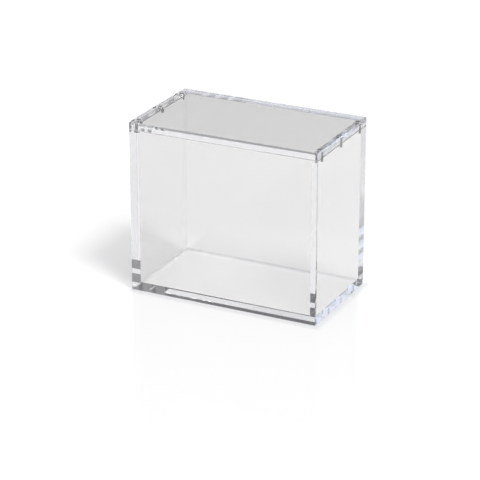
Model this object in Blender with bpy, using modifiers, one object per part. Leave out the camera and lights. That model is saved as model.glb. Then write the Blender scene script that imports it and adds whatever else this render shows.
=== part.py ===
"""Clear display box: five bonded sheets of acrylic and a loose flat lid held by magnets.

Metres, +Z up. The box stands on its floor sheet at z = 0, centred over the origin, with its
long front towards -Y. The lid lies on the rims of the walls and lifts straight off along +Z.
"""

import math

import bmesh
import bpy

# Outside of the closed box
BOX_LENGTH = 0.158
BOX_DEPTH = 0.091
BOX_HEIGHT = 0.139

# Thickness of each sheet
WALL_SHEET = 0.006
FLOOR_SHEET = 0.006
LID_SHEET = 0.006

# Gaps between neighbouring pieces
SEAM_GAP = 0.0003
LID_GAP = 0.0003
MAGNET_CLEARANCE = 0.0003

# Disc magnets, one set in the lid and one in the rims of the end walls
MAGNET_DIAMETER = 0.003
MAGNET_LENGTH = 0.003
MAGNET_END_INSET = 0.0105
MAGNET_SINK = 0.0002
MAGNET_EDGE_BREAK = 0.0002

# Sheets are saw-cut and polished, with their free edges lightly broken
EDGE_BREAK = 0.0003
EDGE_STEPS = 2
ROUND_PROFILE = 0.5

# Round pieces and their bores
ROUND_SIDES = 32
CUT_OVERRUN = 0.001
SMOOTH_ANGLE = math.radians(30)

# Places that several pieces share
LID_UNDERSIDE = BOX_HEIGHT - LID_SHEET
RIM_HEIGHT = LID_UNDERSIDE - LID_GAP
INSIDE_LENGTH = BOX_LENGTH - 2 * WALL_SHEET
INSIDE_DEPTH = BOX_DEPTH - 2 * WALL_SHEET
BORE_RADIUS = MAGNET_DIAMETER / 2 + MAGNET_CLEARANCE
BORE_DEPTH = MAGNET_SINK + MAGNET_LENGTH + MAGNET_CLEARANCE

# Face directions, as rounded normals
LEFT, RIGHT = (-1, 0, 0), (1, 0, 0)
FRONT, BACK = (0, -1, 0), (0, 1, 0)
BOTTOM, TOP = (0, 0, -1), (0, 0, 1)


def clear_scene():
    """Remove every object that the file opened with."""
    for old in list(bpy.data.objects):
        bpy.data.objects.remove(old, do_unlink=True)


def new_collection(name):
    """A collection of that name, linked to the scene."""
    group = bpy.data.collections.new(name)
    bpy.context.scene.collection.children.link(group)
    return group


def move_to(group, piece):
    """Take a new object out of the collection it was made in and put it in this one."""
    for holder in list(piece.users_collection):
        holder.objects.unlink(piece)
    group.objects.link(piece)


def new_material(name, colour, roughness, metallic, transmission):
    """A Principled material with one plain finish."""
    material = bpy.data.materials.new(name)
    material.use_nodes = True
    shader = material.node_tree.nodes["Principled BSDF"]
    shader.inputs["Base Color"].default_value = (*colour, 1)
    shader.inputs["Roughness"].default_value = roughness
    shader.inputs["Metallic"].default_value = metallic
    shader.inputs["Transmission Weight"].default_value = transmission
    material.diffuse_color = (*colour, 1)
    return material


def new_empty(group, name, height):
    """A carrier on the box's upright axis, which its pieces are parented to."""
    carrier = bpy.data.objects.new(name, None)
    carrier.location = (0, 0, height)
    carrier.empty_display_size = WALL_SHEET
    group.objects.link(carrier)
    return carrier


def hang_on(carrier, piece):
    """Parent a piece to its carrier and leave it where it stands."""
    piece.parent = carrier
    piece.location.z -= carrier.location.z


def is_seam(edge, seams):
    """Tell whether an edge runs between two faces that meet at a bonded seam."""
    faces = {tuple(round(part) for part in face.normal) for face in edge.link_faces}
    return any(faces == set(pair) for pair in seams)


def add_sheet(group, name, size, centre, material, seams=()):
    """A flat sheet from a cube, with its free edges broken and its bonded edges left square."""
    bpy.ops.mesh.primitive_cube_add(size=1, location=centre)
    sheet = bpy.context.object
    sheet.name = name
    sheet.scale = size
    bpy.ops.object.transform_apply(location=False, rotation=False, scale=True)
    sheet.data.name = name
    sheet.data.materials.append(material)
    move_to(group, sheet)

    shape = bmesh.new()
    shape.from_mesh(sheet.data)
    free_edges = [edge for edge in shape.edges if not is_seam(edge, seams)]
    bmesh.ops.bevel(
        shape,
        geom=free_edges,
        offset=EDGE_BREAK,
        offset_type="OFFSET",
        segments=EDGE_STEPS,
        profile=ROUND_PROFILE,
        affect="EDGES",
        clamp_overlap=True,
        material=-1,
    )
    shape.to_mesh(sheet.data)
    shape.free()
    return sheet


def add_round(group, name, radius, length, centre):
    """An upright cylinder, shaded smooth round its side."""
    bpy.ops.mesh.primitive_cylinder_add(
        vertices=ROUND_SIDES, radius=radius, depth=length, location=centre
    )
    piece = bpy.context.object
    piece.name = name
    piece.data.name = name
    piece.data.shade_smooth()
    piece.data.set_sharp_from_angle(angle=SMOOTH_ANGLE)
    move_to(group, piece)
    return piece


def add_magnet(group, name, place, height, material):
    """A disc magnet, standing upright with its rounded edges."""
    magnet = add_round(group, name, MAGNET_DIAMETER / 2, MAGNET_LENGTH, (*place, height))
    magnet.data.materials.append(material)
    rounding = magnet.modifiers.new("edge_break", "BEVEL")
    rounding.width = MAGNET_EDGE_BREAK
    rounding.segments = EDGE_STEPS
    rounding.limit_method = "ANGLE"
    rounding.angle_limit = SMOOTH_ANGLE
    return magnet


def bore(cutters, sheet, name, place, face_height, inward):
    """Cut a blind bore for a magnet into a sheet's face. inward is 1 upwards and -1 downwards."""
    length = BORE_DEPTH + CUT_OVERRUN
    middle = face_height + inward * (BORE_DEPTH - length / 2)
    cutter = add_round(cutters, name, BORE_RADIUS, length, (*place, middle))
    cutter.hide_render = True
    cutter.display_type = "WIRE"
    cut = sheet.modifiers.new(name, "BOOLEAN")
    cut.operation = "DIFFERENCE"
    cut.solver = "EXACT"
    cut.object = cutter


def magnet_places():
    """Where each pair of magnets stands, seen from above, by side and by spot along the side."""
    side_x = BOX_LENGTH / 2 - WALL_SHEET / 2
    end_y = BOX_DEPTH / 2 - MAGNET_END_INSET
    spots = {"front": -end_y, "middle": 0, "back": end_y}
    return {
        "left": {spot: (-side_x, y) for spot, y in spots.items()},
        "right": {spot: (side_x, y) for spot, y in spots.items()},
    }


def make_floor(group, acrylic):
    """The floor sheet, let in between the four walls and bonded to them all round."""
    size = (INSIDE_LENGTH - 2 * SEAM_GAP, INSIDE_DEPTH - 2 * SEAM_GAP, FLOOR_SHEET)
    seams = [(side, face) for side in (LEFT, RIGHT, FRONT, BACK) for face in (BOTTOM, TOP)]
    corners = [(end, face) for end in (LEFT, RIGHT) for face in (FRONT, BACK)]
    centre = (0, 0, FLOOR_SHEET / 2)
    return add_sheet(group, "floor_sheet", size, centre, acrylic, seams + corners)


def make_end_walls(group, acrylic):
    """The two short walls, as deep as the box, whose rims hold the lower magnets."""
    size = (WALL_SHEET, BOX_DEPTH, RIM_HEIGHT)
    middle = BOX_LENGTH / 2 - WALL_SHEET / 2
    walls = {}
    for side, x, inner in (("left", -middle, RIGHT), ("right", middle, LEFT)):
        seams = [(inner, FRONT), (inner, BACK), (inner, BOTTOM)]
        centre = (x, 0, RIM_HEIGHT / 2)
        walls[side] = add_sheet(group, f"{side}_wall", size, centre, acrylic, seams)
    return walls


def make_long_walls(group, acrylic):
    """The front and back walls, which stand between the end walls."""
    size = (INSIDE_LENGTH - 2 * SEAM_GAP, WALL_SHEET, RIM_HEIGHT)
    middle = BOX_DEPTH / 2 - WALL_SHEET / 2
    walls = []
    for side, y, inner in (("front", -middle, BACK), ("back", middle, FRONT)):
        seams = [(end, face) for end in (LEFT, RIGHT) for face in (FRONT, BACK, BOTTOM, TOP)]
        seams.append((inner, BOTTOM))
        centre = (0, y, RIM_HEIGHT / 2)
        walls.append(add_sheet(group, f"{side}_wall", size, centre, acrylic, seams))
    return walls


def make_lid(group, acrylic):
    """The loose lid, a flat sheet as large as the box."""
    size = (BOX_LENGTH, BOX_DEPTH, LID_SHEET)
    centre = (0, 0, LID_UNDERSIDE + LID_SHEET / 2)
    return add_sheet(group, "lid_sheet", size, centre, acrylic)


def make_magnets(group, cutters, lid, walls, nickel):
    """A magnet in the lid over a magnet in the rim at each place, each in its blind bore."""
    reach = MAGNET_SINK + MAGNET_LENGTH / 2
    upper, lower = [], []
    for side, spots in magnet_places().items():
        for spot, place in spots.items():
            tag = f"{side}_{spot}"
            bore(cutters, lid, f"lid_bore_{tag}", place, LID_UNDERSIDE, 1)
            bore(cutters, walls[side], f"rim_bore_{tag}", place, RIM_HEIGHT, -1)
            upper.append(add_magnet(group, f"lid_magnet_{tag}", place, LID_UNDERSIDE + reach, nickel))
            lower.append(add_magnet(group, f"rim_magnet_{tag}", place, RIM_HEIGHT - reach, nickel))
    return upper, lower


def main():
    """Build the box, closed."""
    clear_scene()
    parts = new_collection("display_box")
    cutters = new_collection("display_box_cutters")
    acrylic = new_material("clear_acrylic", (0.93, 0.95, 0.97), 0.02, 0, 1)
    nickel = new_material("nickel_plate", (0.72, 0.71, 0.70), 0.18, 1, 0)

    floor = make_floor(parts, acrylic)
    end_walls = make_end_walls(parts, acrylic)
    long_walls = make_long_walls(parts, acrylic)
    lid = make_lid(parts, acrylic)
    lid_magnets, rim_magnets = make_magnets(parts, cutters, lid, end_walls, nickel)

    case = new_empty(parts, "case", 0)
    for piece in (floor, *end_walls.values(), *long_walls, *rim_magnets):
        hang_on(case, piece)
    lid_lift = new_empty(parts, "lid_lift", LID_UNDERSIDE)
    for piece in (lid, *lid_magnets):
        hang_on(lid_lift, piece)


main()
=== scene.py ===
"""Looks of the clear display box: bonded case, polished lid, nickel discs and a pale stage.

Metres, +Z up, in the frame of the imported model. Laid out as an add-on and run as a script.
"""

import math

import bmesh
import bpy
from mathutils import Matrix, Vector


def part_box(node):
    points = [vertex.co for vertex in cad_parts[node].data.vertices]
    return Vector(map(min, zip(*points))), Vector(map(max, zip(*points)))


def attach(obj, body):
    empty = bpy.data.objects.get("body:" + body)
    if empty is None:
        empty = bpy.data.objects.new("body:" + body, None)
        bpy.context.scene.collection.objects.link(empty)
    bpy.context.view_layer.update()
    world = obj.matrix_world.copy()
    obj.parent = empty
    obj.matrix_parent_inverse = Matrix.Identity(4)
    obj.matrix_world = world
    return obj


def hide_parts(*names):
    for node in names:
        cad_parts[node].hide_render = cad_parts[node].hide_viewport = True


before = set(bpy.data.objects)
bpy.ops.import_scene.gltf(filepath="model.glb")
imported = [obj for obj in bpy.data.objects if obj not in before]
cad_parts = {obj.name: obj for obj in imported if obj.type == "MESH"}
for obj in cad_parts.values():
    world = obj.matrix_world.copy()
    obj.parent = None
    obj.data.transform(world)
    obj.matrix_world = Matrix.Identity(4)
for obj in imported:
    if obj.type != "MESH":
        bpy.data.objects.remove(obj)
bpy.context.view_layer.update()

bl_info = {
    "name": "Clear Display Box",
    "version": (1, 0, 0),
    "blender": (4, 5, 0),
    "location": "3D View > Sidebar > Display Box",
    "description": "Builds a clear acrylic display box with a loose lid held by small magnets",
    "category": "Object",
}

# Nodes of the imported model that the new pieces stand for
CASE_SHEETS = ("floor_sheet", "front_wall", "back_wall", "left_wall", "right_wall")
LID_SHEET = "lid_sheet"
SIDES = ("left", "right")
SPOTS = ("front", "middle", "back")

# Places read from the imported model
LID_LOW, LID_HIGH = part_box(LID_SHEET)
CASE_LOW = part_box("left_wall")[0]
CASE_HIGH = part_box("right_wall")[1]
INSIDE_LOW = Vector((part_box("left_wall")[1].x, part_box("front_wall")[1].y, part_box("floor_sheet")[1].z))
INSIDE_HIGH = Vector((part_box("right_wall")[0].x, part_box("back_wall")[0].y, CASE_HIGH.z))

# How curved surfaces are cut
EDGE_STEPS = 3
ROUND_PROFILE = 0.5
BORE_SIDES = 48
DISC_SIDES = 64

# Half the side of the square that is set into a face round a bore, in radii of the bore
BORE_CELL = 1.3

# How near two heights or two points are that count as the same
SAME_HEIGHT = 1e-6
SAME_POINT = 1e-7

# A corner of the case that lies further in than this is one of the inside
OUTER_MARGIN = 0.001

# Face attributes that mark where a sheet isn't polished flat: its bores and its cut edges
DRILLED = "drilled"
CUT = "cut"

# Surface of the acrylic, and of its drilled bores
ACRYLIC_IOR = 1.49
DRILLED_COLOUR = (0.35, 0.35, 0.36)
DRILLED_ROUGHNESS = 0.25
CHIP_ROUGHNESS = 0.35

# Absorption inside the acrylic: the colour that it leaves, and its density for each metre
INNER_COLOUR = (0.6, 0.61, 0.65)
INNER_DENSITY = 3

# Relief in metres: waves on the faces, ripples along the cut edges and the distance from one to
# the next, and marks and chips in the bores
SHEET_WAVES = 0.00002
CUT_RIPPLES = 0.000003
CUT_PITCH = 0.0026
DRILL_MARKS = 0.000012

# The share of the lamp's light that an upright face keeps back: more at the ends than along the
# front and back, most at the left end, and more at a grazing angle than straight on
END_LOSS = 1.35
END_LOSS_SLOPE = 9
LONG_LOSS = 0.1
STRAIGHT_LOSS = 0.13
GRAZING_LOSS = 0.96
GRAZING_POWER = 5

# The nickel's stains, as a share of its colour, and its grain in metres
STAIN_SHADE = 0.9
NICKEL_GRAIN = 0.00002

# The table: how far it lies under the box; its paler colour under the inside of the box, which is
# painted light; and the colour and share of the painted shadow along the box's front and right
TABLE_GAP = 0.0002
PAINTED_LIGHT_COLOUR = (0.96, 0.96, 0.96)
PAINTED_SHADOW_COLOUR = (0, 0.02, 0.08)
PAINTED_SHADOW_SHARE = 0.2

# Light added to the table: all over and towards the back, which keeps it white; under the inside of
# the box, painted light for what its walls throw; and in the shadow of the left wall, painted light
# that lifts that shadow for rays through the acrylic
TABLE_GLOW = 0.03
FAR_GLOW = 0.11
INSIDE_GLOW = 0.28
SHADOW_GLOW = 0.14

# The room's levels, and what the cool panel adds
ROOM_BACK = 0.16
ROOM_FRONT = 0.75
ROOM_ABOVE = 0.3
COOL_LEVEL = 0.5
ROOM_COLOUR = (0.985, 0.99, 1)
COOL_COLOUR = (0.8, 0.86, 1)

# How much dimmer the grey band of the white sweep is
BAND_DIMMING = 0.75

# Where the room is pale and where its panels stand, as directions from the box
ROOM_FACING = Vector((0.45, -0.89, 0))
FRONT_RIGHT = Vector((0.41, -0.83, 0.38)).normalized()
FRONT_LEFT = Vector((-0.41, -0.83, 0.38)).normalized()

# The camera, fitted to seven outer corners of the box in the photograph
CAMERA_PLACE = (0.7027, -1.4343, 0.6926)
CAMERA_PITCH = math.radians(22.243)
CAMERA_YAW = math.radians(26.324)
CAMERA_LENS = 165.54
SENSOR_WIDTH = 36

# The key lamp, set so that the shadow falls as in the photograph
KEY_AZIMUTH = math.radians(62)
KEY_ELEVATION = math.radians(57)
KEY_ANGLE = math.radians(15)

# How many times light may bounce in clear and mirroring pieces, and off matt ones
CLEAR_BOUNCES = 64
MATT_BOUNCES = 3


# Properties that a user may change

class BoxSizes(bpy.types.PropertyGroup):
    """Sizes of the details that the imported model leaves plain."""

    edge_break: bpy.props.FloatProperty(
        name="Edge break",
        description="Width of the rounding along each free edge of a sheet",
        default=0.0003,
        min=0.0001,
        max=0.0005,
        precision=5,
        unit="LENGTH",
    )
    bore_clearance: bpy.props.FloatProperty(
        name="Bore clearance",
        description="Gap between a magnet and the wall and the blind end of its bore",
        default=0.0003,
        min=0.0001,
        max=0.0004,
        precision=5,
        unit="LENGTH",
    )
    disc_rounding: bpy.props.FloatProperty(
        name="Disc rounding",
        description="Radius of the plated edge of each magnet",
        default=0.0002,
        min=0.0001,
        max=0.0004,
        precision=5,
        unit="LENGTH",
    )


class BoxFinish(bpy.types.PropertyGroup):
    """Colours of the acrylic and the nickel."""

    acrylic_tint: bpy.props.FloatVectorProperty(
        name="Acrylic tint",
        description="Colour of light that has passed through the acrylic",
        subtype="COLOR",
        default=(0.893, 0.887, 0.885),
        min=0,
        max=1,
    )
    nickel: bpy.props.FloatVectorProperty(
        name="Nickel",
        description="Colour of the plating on the magnets",
        subtype="COLOR",
        default=(0.72, 0.71, 0.70),
        min=0,
        max=1,
    )


class StudioSettings(bpy.types.PropertyGroup):
    """The table and the lamp."""

    table_colour: bpy.props.FloatVectorProperty(
        name="Table",
        description="Colour of the glossy white table",
        subtype="COLOR",
        default=(0.88, 0.88, 0.88),
        min=0,
        max=1,
    )
    table_width: bpy.props.FloatProperty(
        name="Table width",
        description="Length of each side of the table",
        default=8,
        unit="LENGTH",
    )
    key_strength: bpy.props.FloatProperty(
        name="Key lamp",
        description="Strength of the soft lamp at the front right",
        default=2.4,
        min=0,
    )


# Shader maths

class Wire:
    """A value inside a shader, which takes part in Python arithmetic."""

    def __init__(self, graph, socket):
        self.graph = graph
        self.socket = socket

    def __add__(self, other):
        return self.math("ADD", other)

    def __radd__(self, other):
        return self.graph.calculate("ADD", other, self)

    def __sub__(self, other):
        return self.math("SUBTRACT", other)

    def __rsub__(self, other):
        return self.graph.calculate("SUBTRACT", other, self)

    def __mul__(self, other):
        return self.math("MULTIPLY", other)

    def __rmul__(self, other):
        return self.graph.calculate("MULTIPLY", other, self)

    def math(self, operation, *others):
        """What a Math node makes of this value and the others."""
        return self.graph.calculate(operation, self, *others)

    def sibling(self, output):
        """Another output of the node that this value comes from."""
        return Wire(self.graph, self.socket.node.outputs[output])


class Graph:
    """The node tree of a material or the world."""

    def __init__(self, owner):
        owner.use_nodes = True
        self.tree = owner.node_tree
        self.tree.nodes.clear()

    def node(self, kind, settings=None, inputs=None, output=0):
        """Add a node: its settings first, then the values or links of its sockets."""
        new = self.tree.nodes.new(kind)
        for name, value in (settings or {}).items():
            setattr(new, name, value)
        for name, value in (inputs or {}).items():
            if isinstance(value, Wire):
                self.tree.links.new(value.socket, new.inputs[name])
            else:
                new.inputs[name].default_value = value
        return Wire(self, new.outputs[output]) if new.outputs else None

    def calculate(self, operation, *values):
        """What a Math node makes of these values."""
        return self.node("ShaderNodeMath", {"operation": operation}, dict(enumerate(values)))

    def blend(self, share, first, second):
        """A colour that turns from the first to the second as the share goes from 0 to 1."""
        return self.node(
            "ShaderNodeMix", {"data_type": "RGBA"}, {0: share, 6: first, 7: second}, output=2
        )

    def fade(self, value, bounds, levels):
        """A smooth step from one level to another as a value passes from one bound to the other."""
        return self.node(
            "ShaderNodeMapRange",
            {"interpolation_type": "SMOOTHSTEP"},
            {
                "Value": value,
                "From Min": bounds[0],
                "From Max": bounds[1],
                "To Min": levels[0],
                "To Max": levels[1],
            },
        )

    def reach(self, vector, direction):
        """How far a vector reaches in a direction: their dot product."""
        return self.node(
            "ShaderNodeVectorMath",
            {"operation": "DOT_PRODUCT"},
            {0: vector, 1: direction},
            output="Value",
        )

    def part(self, vector, axis):
        """One axis of a vector. Its siblings are the other two."""
        return self.node("ShaderNodeSeparateXYZ", inputs={0: vector}, output=axis)


# Materials

def new_material(name):
    """An empty material and its graph."""
    material = bpy.data.materials.new(name)
    return material, Graph(material)


def sheet_relief(graph, place):
    """Height in metres of the faint waves in a cast sheet."""
    waves = graph.node("ShaderNodeTexNoise", inputs={"Vector": place, "Scale": 14, "Detail": 1})
    return SHEET_WAVES * waves


def cut_relief(graph, place):
    """Height in metres of the ripples that the edge cutter leaves along a polished edge."""
    across = graph.part(place, "X")
    run = across + across.sibling("Y")
    drift = graph.node("ShaderNodeTexNoise", {"noise_dimensions": "1D"}, {"W": run, "Scale": 160})
    return CUT_RIPPLES * (run * (2 * math.pi / CUT_PITCH) + 6 * drift).math("SINE")


def lamp_share(graph, place):
    """The share of the lamp's light that passes a face of the acrylic."""
    facing = graph.node("ShaderNodeLayerWeight", inputs={"Blend": 0.5}, output="Facing")
    slope = graph.node("ShaderNodeNewGeometry", output="True Normal")
    across = graph.part(slope, "X")
    along = across.sibling("Y")
    ends = across.math("ABSOLUTE") * (END_LOSS - END_LOSS_SLOPE * graph.part(place, "X"))
    upright = ends + LONG_LOSS * along.math("ABSOLUTE")
    return 1 - upright * (STRAIGHT_LOSS + GRAZING_LOSS * facing.math("POWER", GRAZING_POWER))


def clear_acrylic(name):
    """Clear cast acrylic: polished faces, finely rippled cut edges and matt drilled bores.

    Light on its way to the table passes straight through all but the bores, with a loss in the
    upright faces that gives the shadow in the photograph.
    """
    finish = bpy.context.scene.display_box_finish
    material, graph = new_material(name)
    place = graph.node("ShaderNodeTexCoord", output="Object")
    drilled = graph.node("ShaderNodeAttribute", {"attribute_name": DRILLED}, output="Fac")
    cut = graph.node("ShaderNodeAttribute", {"attribute_name": CUT}, output="Fac")
    level = graph.part(place, "Z")
    marks = graph.node("ShaderNodeTexNoise", {"noise_dimensions": "1D"}, {"W": level, "Scale": 9000})
    chips = graph.node("ShaderNodeTexNoise", inputs={"Vector": place, "Scale": 2500, "Detail": 2})
    polished = (1 - cut) * sheet_relief(graph, place) + cut * cut_relief(graph, place)
    height = (1 - drilled) * polished + drilled * (DRILL_MARKS * (marks + chips))
    bump = graph.node("ShaderNodeBump", inputs={"Height": height, "Strength": 1, "Distance": 1})
    shader = graph.node(
        "ShaderNodeBsdfPrincipled",
        inputs={
            "Base Color": graph.blend(drilled, (*finish.acrylic_tint, 1), (*DRILLED_COLOUR, 1)),
            "Roughness": drilled * (DRILLED_ROUGHNESS + CHIP_ROUGHNESS * chips),
            "IOR": ACRYLIC_IOR,
            "Transmission Weight": 1,
            "Normal": bump,
        },
    )
    clear = graph.node("ShaderNodeBsdfTransparent", inputs={"Color": (1, 1, 1, 1)})
    to_lamp = graph.node("ShaderNodeLightPath", output="Is Shadow Ray")
    lighting = to_lamp + to_lamp.sibling("Is Diffuse Ray")
    passed = (1 - drilled) * lamp_share(graph, place)
    surface = graph.node("ShaderNodeMixShader", inputs={0: lighting * passed, 1: shader, 2: clear})
    inner = graph.node(
        "ShaderNodeVolumeAbsorption",
        inputs={"Color": (*INNER_COLOUR, 1), "Density": INNER_DENSITY},
    )
    graph.node("ShaderNodeOutputMaterial", inputs={"Surface": surface, "Volume": inner})
    return material


def nickel_plate(name):
    """Bright nickel with a fine grain and faint stains."""
    finish = bpy.context.scene.display_box_finish
    stained = [STAIN_SHADE * part for part in finish.nickel]
    material, graph = new_material(name)
    place = graph.node("ShaderNodeTexCoord", output="Object")
    grain = graph.node("ShaderNodeTexNoise", inputs={"Vector": place, "Scale": 9000, "Detail": 2})
    stains = graph.node("ShaderNodeTexNoise", inputs={"Vector": place, "Scale": 900, "Detail": 3})
    bump = graph.node(
        "ShaderNodeBump", inputs={"Height": grain, "Strength": 0.15, "Distance": NICKEL_GRAIN}
    )
    shader = graph.node(
        "ShaderNodeBsdfPrincipled",
        inputs={
            "Base Color": graph.blend(stains, (*finish.nickel, 1), (*stained, 1)),
            "Metallic": 1,
            "Roughness": 0.16 + 0.16 * stains,
            "Normal": bump,
        },
    )
    graph.node("ShaderNodeOutputMaterial", inputs={"Surface": shader})
    return material


def shared_material(name, make):
    """The material of that name, made the first time that it is asked for."""
    return bpy.data.materials.get(name) or make(name)


# Mesh helpers

def new_sheet():
    """An empty shape whose faces can be marked as drilled or cut."""
    shape = bmesh.new()
    for finish in (DRILLED, CUT):
        shape.faces.layers.float.new(finish)
    return shape


def mark(shape, face, finish):
    """Mark a face as drilled or cut, and as nothing else."""
    for each in (DRILLED, CUT):
        face[shape.faces.layers.float[each]] = float(each == finish)


def cube_between(shape, low, high):
    """A cuboid from one corner to the other."""
    size = high - low
    placed = Matrix.Translation((low + high) / 2) @ Matrix.Diagonal((*size, 1))
    bmesh.ops.create_cube(shape, size=1, matrix=placed)


def round_edges(shape, edges, width):
    """Round these edges over."""
    bmesh.ops.bevel(
        shape,
        geom=edges,
        offset=width,
        offset_type="OFFSET",
        segments=EDGE_STEPS,
        profile=ROUND_PROFILE,
        affect="EDGES",
        clamp_overlap=True,
        material=-1,
    )


def at_height(corners, height):
    """Whether all these corners lie at a height."""
    return all(abs(corner.co.z - height) < SAME_HEIGHT for corner in corners)


def face_at(shape, point):
    """The flat face that a point lies on."""
    for face in shape.faces:
        if at_height(face.verts, point.z) and bmesh.geometry.intersect_face_point(face, point):
            return face
    raise RuntimeError(f"no face at {tuple(point)}")


def sink_bore(shape, mouth, inward, radius, depth):
    """A blind round bore into the face at its mouth. inward is 1 upwards and -1 downwards."""
    cell_reach = radius * BORE_CELL
    for axis in (Vector((1, 0, 0)), Vector((0, 1, 0))):
        for side in (-1, 1):
            face = face_at(shape, mouth)
            bmesh.ops.bisect_plane(
                shape,
                geom=[face, *face.edges, *face.verts],
                dist=SAME_POINT,
                plane_co=mouth + axis * side * cell_reach,
                plane_no=axis,
            )
    cell = face_at(shape, mouth)
    cell_edges = list(cell.edges)
    bmesh.ops.delete(shape, geom=[cell], context="FACES_ONLY")
    ring = bmesh.ops.create_circle(
        shape, segments=BORE_SIDES, radius=radius, matrix=Matrix.Translation(mouth)
    )
    ring_edges = list(dict.fromkeys(edge for corner in ring["verts"] for edge in corner.link_edges))
    bmesh.ops.bridge_loops(shape, edges=cell_edges + ring_edges)
    wall = bmesh.ops.extrude_edge_only(shape, edges=ring_edges)["geom"]
    end_verts = [part for part in wall if isinstance(part, bmesh.types.BMVert)]
    wall_edges = [part for part in wall if isinstance(part, bmesh.types.BMEdge)]
    end_ring = [edge for edge in wall_edges if all(corner in end_verts for corner in edge.verts)]
    for face in wall:
        if isinstance(face, bmesh.types.BMFace):
            face.smooth = True
            mark(shape, face, DRILLED)
    bmesh.ops.translate(shape, verts=end_verts, vec=(0, 0, inward * depth))
    for face in bmesh.ops.contextual_create(shape, geom=end_ring)["faces"]:
        mark(shape, face, DRILLED)
    for edge in ring_edges + end_ring:
        edge.smooth = False


def disc_places(set_name):
    """The box of each magnet in a set, by the name of its node."""
    names = [f"{set_name}_magnet_{side}_{spot}" for side in SIDES for spot in SPOTS]
    return {name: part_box(name) for name in names}


def bore_for(shape, disc, mouth_height, inward):
    """Bore the hole that a magnet stands in."""
    sizes = bpy.context.scene.display_box_sizes
    low, high = disc
    middle = (low + high) / 2
    radius = (high.x - low.x) / 2 + sizes.bore_clearance
    far_end = high.z if inward > 0 else low.z
    depth = abs(far_end - mouth_height) + sizes.bore_clearance
    sink_bore(shape, Vector((middle.x, middle.y, mouth_height)), inward, radius, depth)


def open_case():
    """The five sheets as one solid that is open at the top, with the left part of its rim marked as cut."""
    shape = new_sheet()
    cube_between(shape, CASE_LOW, CASE_HIGH)
    top_middle = Vector((0, 0, CASE_HIGH.z))
    bmesh.ops.inset_region(
        shape,
        faces=[face_at(shape, top_middle)],
        thickness=INSIDE_LOW.x - CASE_LOW.x,
        use_even_offset=True,
    )
    mouth = face_at(shape, top_middle)
    well = bmesh.ops.extrude_face_region(shape, geom=[mouth])["geom"]
    bmesh.ops.delete(shape, geom=[mouth], context="FACES_ONLY")
    well_verts = [part for part in well if isinstance(part, bmesh.types.BMVert)]
    bmesh.ops.translate(shape, verts=well_verts, vec=(0, 0, INSIDE_LOW.z - CASE_HIGH.z))
    bmesh.ops.recalc_face_normals(shape, faces=shape.faces)
    on_left_rim = Vector(((CASE_LOW.x + INSIDE_LOW.x) / 2, 0, CASE_HIGH.z))
    mark(shape, face_at(shape, on_left_rim), CUT)
    return shape


def free_edges(shape):
    """The edges of the case that no joint fills: the outer ones and those round its mouth."""
    free = []
    for edge in shape.edges:
        inner = [
            abs(corner.co.x) < CASE_HIGH.x - OUTER_MARGIN
            and abs(corner.co.y) < CASE_HIGH.y - OUTER_MARGIN
            for corner in edge.verts
        ]
        if not any(inner) or (all(inner) and at_height(edge.verts, CASE_HIGH.z)):
            free.append(edge)
    return free


def disc_shape(low, high, rounding):
    """A disc magnet that fills its box, with rounded rims."""
    radius = (high.x - low.x) / 2
    shape = bmesh.new()
    bmesh.ops.create_cone(
        shape,
        cap_ends=True,
        segments=DISC_SIDES,
        radius1=radius,
        radius2=radius,
        depth=high.z - low.z,
        matrix=Matrix.Translation((low + high) / 2),
    )
    ends = [face for face in shape.faces if len(face.verts) > 4]
    round_edges(shape, list(dict.fromkeys(edge for face in ends for edge in face.edges)), rounding)
    for face in shape.faces:
        face.smooth = len(face.verts) == 4
    return shape


def finish_piece(shape, name, material, body, nodes):
    """Turn a bmesh into a piece that stands for these nodes and moves with a body."""
    bmesh.ops.recalc_face_normals(shape, faces=shape.faces)
    mesh = bpy.data.meshes.new(name)
    shape.to_mesh(mesh)
    shape.free()
    mesh.materials.append(material)
    piece = bpy.data.objects.new(name, mesh)
    bpy.context.scene.collection.objects.link(piece)
    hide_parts(*nodes)
    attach(piece, body)


# Operators, one for each piece or group of like pieces and one for the stage

class DISPLAY_BOX_OT_case(bpy.types.Operator):
    """Make the five bonded sheets as one clear piece"""

    bl_idname = "display_box.case"
    bl_label = "Bonded case"

    def execute(self, context):
        shape = open_case()
        round_edges(shape, free_edges(shape), context.scene.display_box_sizes.edge_break)
        for disc in disc_places("rim").values():
            bore_for(shape, disc, CASE_HIGH.z, -1)
        acrylic = shared_material("polished_acrylic", clear_acrylic)
        finish_piece(shape, "bonded_case", acrylic, "case", CASE_SHEETS)
        return {"FINISHED"}


class DISPLAY_BOX_OT_lid(bpy.types.Operator):
    """Make the loose flat lid with its bores"""

    bl_idname = "display_box.lid"
    bl_label = "Polished lid"

    def execute(self, context):
        shape = new_sheet()
        cube_between(shape, LID_LOW, LID_HIGH)
        shape.normal_update()
        for face in shape.faces:
            if abs(face.normal.z) < 0.5:
                mark(shape, face, CUT)
        round_edges(shape, list(shape.edges), context.scene.display_box_sizes.edge_break)
        for disc in disc_places("lid").values():
            bore_for(shape, disc, LID_LOW.z, 1)
        acrylic = shared_material("polished_acrylic", clear_acrylic)
        finish_piece(shape, "polished_lid", acrylic, "lid", (LID_SHEET,))
        return {"FINISHED"}


class DISPLAY_BOX_OT_magnets(bpy.types.Operator):
    """Make the nickel-plated disc magnets in the lid and in the rims"""

    bl_idname = "display_box.magnets"
    bl_label = "Magnets"

    def execute(self, context):
        rounding = context.scene.display_box_sizes.disc_rounding
        nickel = shared_material("bright_nickel", nickel_plate)
        for set_name, body in (("lid", "lid"), ("rim", "case")):
            for node, (low, high) in disc_places(set_name).items():
                shape = disc_shape(low, high, rounding)
                name = node.replace("magnet", "disc")
                finish_piece(shape, name, nickel, body, (node,))
        return {"FINISHED"}


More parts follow.
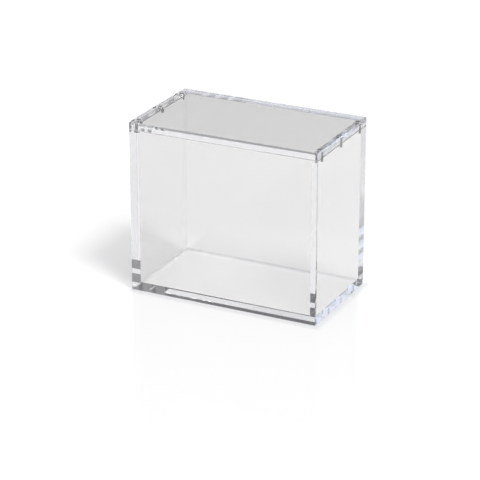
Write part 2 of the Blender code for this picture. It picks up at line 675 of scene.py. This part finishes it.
class DISPLAY_BOX_OT_stage(bpy.types.Operator):
    """Set up the table, the lamp, the room and the camera"""

    bl_idname = "display_box.stage"
    bl_label = "Stage"

    def execute(self, context):
        scene = context.scene
        self.add_table(scene)
        self.add_key(scene)
        self.set_room(scene)
        self.add_camera(scene)
        scene.view_settings.view_transform = "Standard"
        scene.cycles.max_bounces = CLEAR_BOUNCES
        scene.cycles.transmission_bounces = CLEAR_BOUNCES
        scene.cycles.glossy_bounces = CLEAR_BOUNCES
        scene.cycles.transparent_max_bounces = CLEAR_BOUNCES
        scene.cycles.diffuse_bounces = MATT_BOUNCES
        scene.cycles.caustics_refractive = False
        scene.cycles.caustics_reflective = False
        scene.cycles.use_denoising = True
        return {"FINISHED"}

    def add_table(self, scene):
        """A wide table, just under the box."""
        shape = bmesh.new()
        bmesh.ops.create_grid(
            shape,
            x_segments=1,
            y_segments=1,
            size=scene.display_box_studio.table_width / 2,
            matrix=Matrix.Translation((0, 0, -TABLE_GAP)),
        )
        mesh = bpy.data.meshes.new("table")
        shape.to_mesh(mesh)
        shape.free()
        mesh.materials.append(self.table_material(scene.display_box_studio))
        table = bpy.data.objects.new("table", mesh)
        scene.collection.objects.link(table)

    def table_material(self, studio):
        """Glossy white, with painted light under the inside of the box and a painted shadow along its
        front and right.

        Rays from the camera, straight or by way of metal or acrylic, see light added to it, more
        towards the back and, as painted light, under the inside of the box. Rays through the acrylic
        also see painted light in the left wall's shadow, which lifts it.
        """
        material, graph = new_material("white_table")
        place = graph.node("ShaderNodeTexCoord", output="Object")
        inside = self.painted_light_mask(graph, place)
        away = Vector((-math.sin(CAMERA_YAW), math.cos(CAMERA_YAW), 0))
        far = graph.fade(graph.reach(place, away), (0.05, 0.3), (0, 1))
        # Painted light: the table's colour is paler under the inside of the box
        colour = graph.blend(inside, (*studio.table_colour, 1), (*PAINTED_LIGHT_COLOUR, 1))
        # A painted shadow: a dark colour blended into the table along the box's front and right
        painted_shadow = PAINTED_SHADOW_SHARE * self.painted_shadow_mask(graph, place)
        shader = graph.node(
            "ShaderNodeBsdfPrincipled",
            inputs={
                "Base Color": graph.blend(painted_shadow, colour, (*PAINTED_SHADOW_COLOUR, 1)),
                "Roughness": 0.02,
                "IOR": 1.5,
            },
        )
        camera = graph.node("ShaderNodeLightPath", output="Is Camera Ray")
        through = camera.sibling("Is Transmission Ray")
        seen = camera.math("MAXIMUM", camera.sibling("Is Glossy Ray").math("MAXIMUM", through))
        # The glow under the inside of the box is painted light; the rest keeps the table white
        glow = (TABLE_GLOW + FAR_GLOW * far + INSIDE_GLOW * inside) * seen
        # Painted light that lifts the left wall's shadow, for rays through the acrylic
        glow = glow + SHADOW_GLOW * self.shadow_mask(graph, place) * through
        white = graph.node("ShaderNodeEmission", inputs={"Color": (1, 1, 1, 1), "Strength": glow})
        both = graph.node("ShaderNodeAddShader", inputs={0: shader, 1: white})
        graph.node("ShaderNodeOutputMaterial", inputs={"Surface": both})
        return material

    def painted_light_mask(self, graph, place):
        """1 on the table under the inside of the box, and 0 elsewhere: where painted light stands in
        for the light that its walls throw.
        """
        mask = 1
        for axis, half in (("X", INSIDE_HIGH.x), ("Y", INSIDE_HIGH.y)):
            away = graph.part(place, axis).math("ABSOLUTE")
            mask = mask * graph.fade(away, (half - 0.003, half + 0.003), (1, 0))
        return mask

    def painted_shadow_mask(self, graph, place):
        """Painted shadow: 1 on the table along the box's front and right, and 0 a few millimetres away."""
        across = graph.part(place, "X")
        along = across.sibling("Y")
        beyond = (across - CASE_HIGH.x).math("MAXIMUM", CASE_LOW.y - along)
        outside = graph.fade(beyond, (-0.001, 0), (0, 1))
        beside = graph.fade(across, (CASE_LOW.x - 0.004, CASE_LOW.x), (0, 1))
        before = graph.fade(along, (CASE_HIGH.y, CASE_HIGH.y + 0.004), (1, 0))
        return outside * beside * before * graph.fade(beyond, (0, 0.008), (1, 0))

    def shadow_mask(self, graph, place):
        """1 on the table where the left wall's shadow lies, and 0 elsewhere: where painted light lifts it.
        """
        across = graph.part(place, "X")
        along = across.sibling("Y")
        outside = graph.fade(across, (CASE_LOW.x - 0.003, CASE_LOW.x + 0.003), (1, 0))
        reach = graph.fade(across, (CASE_LOW.x - 0.11, CASE_LOW.x - 0.03), (0, 1))
        depth = graph.fade(along, (CASE_HIGH.y, CASE_HIGH.y + 0.06), (1, 0))
        return outside * reach * depth

    def add_key(self, scene):
        """A soft lamp at the front right, high enough for the shadow in the photograph."""
        data = bpy.data.lights.new("key", "SUN")
        data.energy = scene.display_box_studio.key_strength
        data.angle = KEY_ANGLE
        key = bpy.data.objects.new("key", data)
        towards = Vector((
            math.sin(KEY_AZIMUTH) * math.cos(KEY_ELEVATION),
            -math.cos(KEY_AZIMUTH) * math.cos(KEY_ELEVATION),
            math.sin(KEY_ELEVATION),
        ))
        key.location = towards
        key.rotation_mode = "QUATERNION"
        key.rotation_quaternion = towards.to_track_quat("Z", "Y")
        scene.collection.objects.link(key)

    def set_room(self, scene):
        """A pale room, and a white sweep in its place for all that is mirrored.

        The sweep shows in the table, the magnets and the outer faces of the box, and is grey in
        the band that the lid mirrors. Rays through the acrylic see the room, with a cool panel at
        the front left.
        """
        world = bpy.data.worlds.new("studio")
        scene.world = world
        graph = Graph(world)
        towards = graph.node("ShaderNodeTexCoord", output="Generated")
        height = graph.part(towards, "Z")
        glossy = graph.node("ShaderNodeLightPath", output="Is Glossy Ray")
        through = glossy.sibling("Is Transmission Ray")
        cool = through * graph.fade(graph.reach(towards, FRONT_LEFT), (0.7, 0.95), (0, 1))
        band = graph.fade(height, (0.24, 0.31), (0, 1)) * graph.fade(height, (0.35, 0.39), (1, 0))
        room = self.room_level(graph, towards, height) + COOL_LEVEL * cool
        mirrored = glossy * (1 - through)
        background = graph.node(
            "ShaderNodeBackground",
            inputs={
                "Color": graph.blend(cool, (*ROOM_COLOUR, 1), (*COOL_COLOUR, 1)),
                "Strength": room * (1 - mirrored) + (1 - BAND_DIMMING * band) * mirrored,
            },
        )
        graph.node("ShaderNodeOutputWorld", inputs={"Surface": background})

    def room_level(self, graph, towards, height):
        """Pale round the horizon and at the front, dim at the back, with a panel at the front right."""
        front = graph.fade(graph.reach(towards, ROOM_FACING), (-0.9, 0.4), (ROOM_BACK, ROOM_FRONT))
        horizon = graph.fade(height, (0.2, 0.42), (1, 0))
        above = graph.fade(height, (0.45, 0.75), (0, 1))
        panel = graph.fade(graph.reach(towards, FRONT_RIGHT), (0.68, 0.93), (0, 1))
        return front + horizon * (1 - front) + above * (ROOM_ABOVE - front) + panel

    def add_camera(self, scene):
        """The photograph's camera."""
        data = bpy.data.cameras.new("camera")
        data.sensor_width = SENSOR_WIDTH
        data.lens = CAMERA_LENS
        camera = bpy.data.objects.new("camera", data)
        forward = Vector((
            -math.sin(CAMERA_YAW) * math.cos(CAMERA_PITCH),
            math.cos(CAMERA_YAW) * math.cos(CAMERA_PITCH),
            -math.sin(CAMERA_PITCH),
        ))
        camera.location = CAMERA_PLACE
        camera.rotation_mode = "QUATERNION"
        camera.rotation_quaternion = forward.to_track_quat("-Z", "Y")
        scene.collection.objects.link(camera)
        scene.camera = camera


class DISPLAY_BOX_PT_panel(bpy.types.Panel):
    """Shows the properties and the operators of the box, in the sidebar of the 3D view"""

    bl_idname = "DISPLAY_BOX_PT_panel"
    bl_label = "Display Box"
    bl_space_type = "VIEW_3D"
    bl_region_type = "UI"
    bl_category = "Display Box"

    def draw(self, context):
        layout = self.layout
        for group_name in GROUPS:
            group = getattr(context.scene, group_name)
            for name in group.__annotations__:
                layout.prop(group, name)
        for operator in OPERATORS:
            layout.operator(operator.bl_idname)


GROUPS = {
    "display_box_sizes": BoxSizes,
    "display_box_finish": BoxFinish,
    "display_box_studio": StudioSettings,
}
OPERATORS = (
    DISPLAY_BOX_OT_case,
    DISPLAY_BOX_OT_lid,
    DISPLAY_BOX_OT_magnets,
    DISPLAY_BOX_OT_stage,
)
CLASSES = (*GROUPS.values(), *OPERATORS, DISPLAY_BOX_PT_panel)


def register():
    for each in CLASSES:
        bpy.utils.register_class(each)
    for name, group in GROUPS.items():
        setattr(bpy.types.Scene, name, bpy.props.PointerProperty(type=group))


def unregister():
    for name in GROUPS:
        delattr(bpy.types.Scene, name)
    for each in reversed(CLASSES):
        bpy.utils.unregister_class(each)


def main():
    """Build every piece and the stage."""
    register()
    bpy.ops.display_box.case()
    bpy.ops.display_box.lid()
    bpy.ops.display_box.magnets()
    bpy.ops.display_box.stage()


if __name__ == "__main__":
    main()
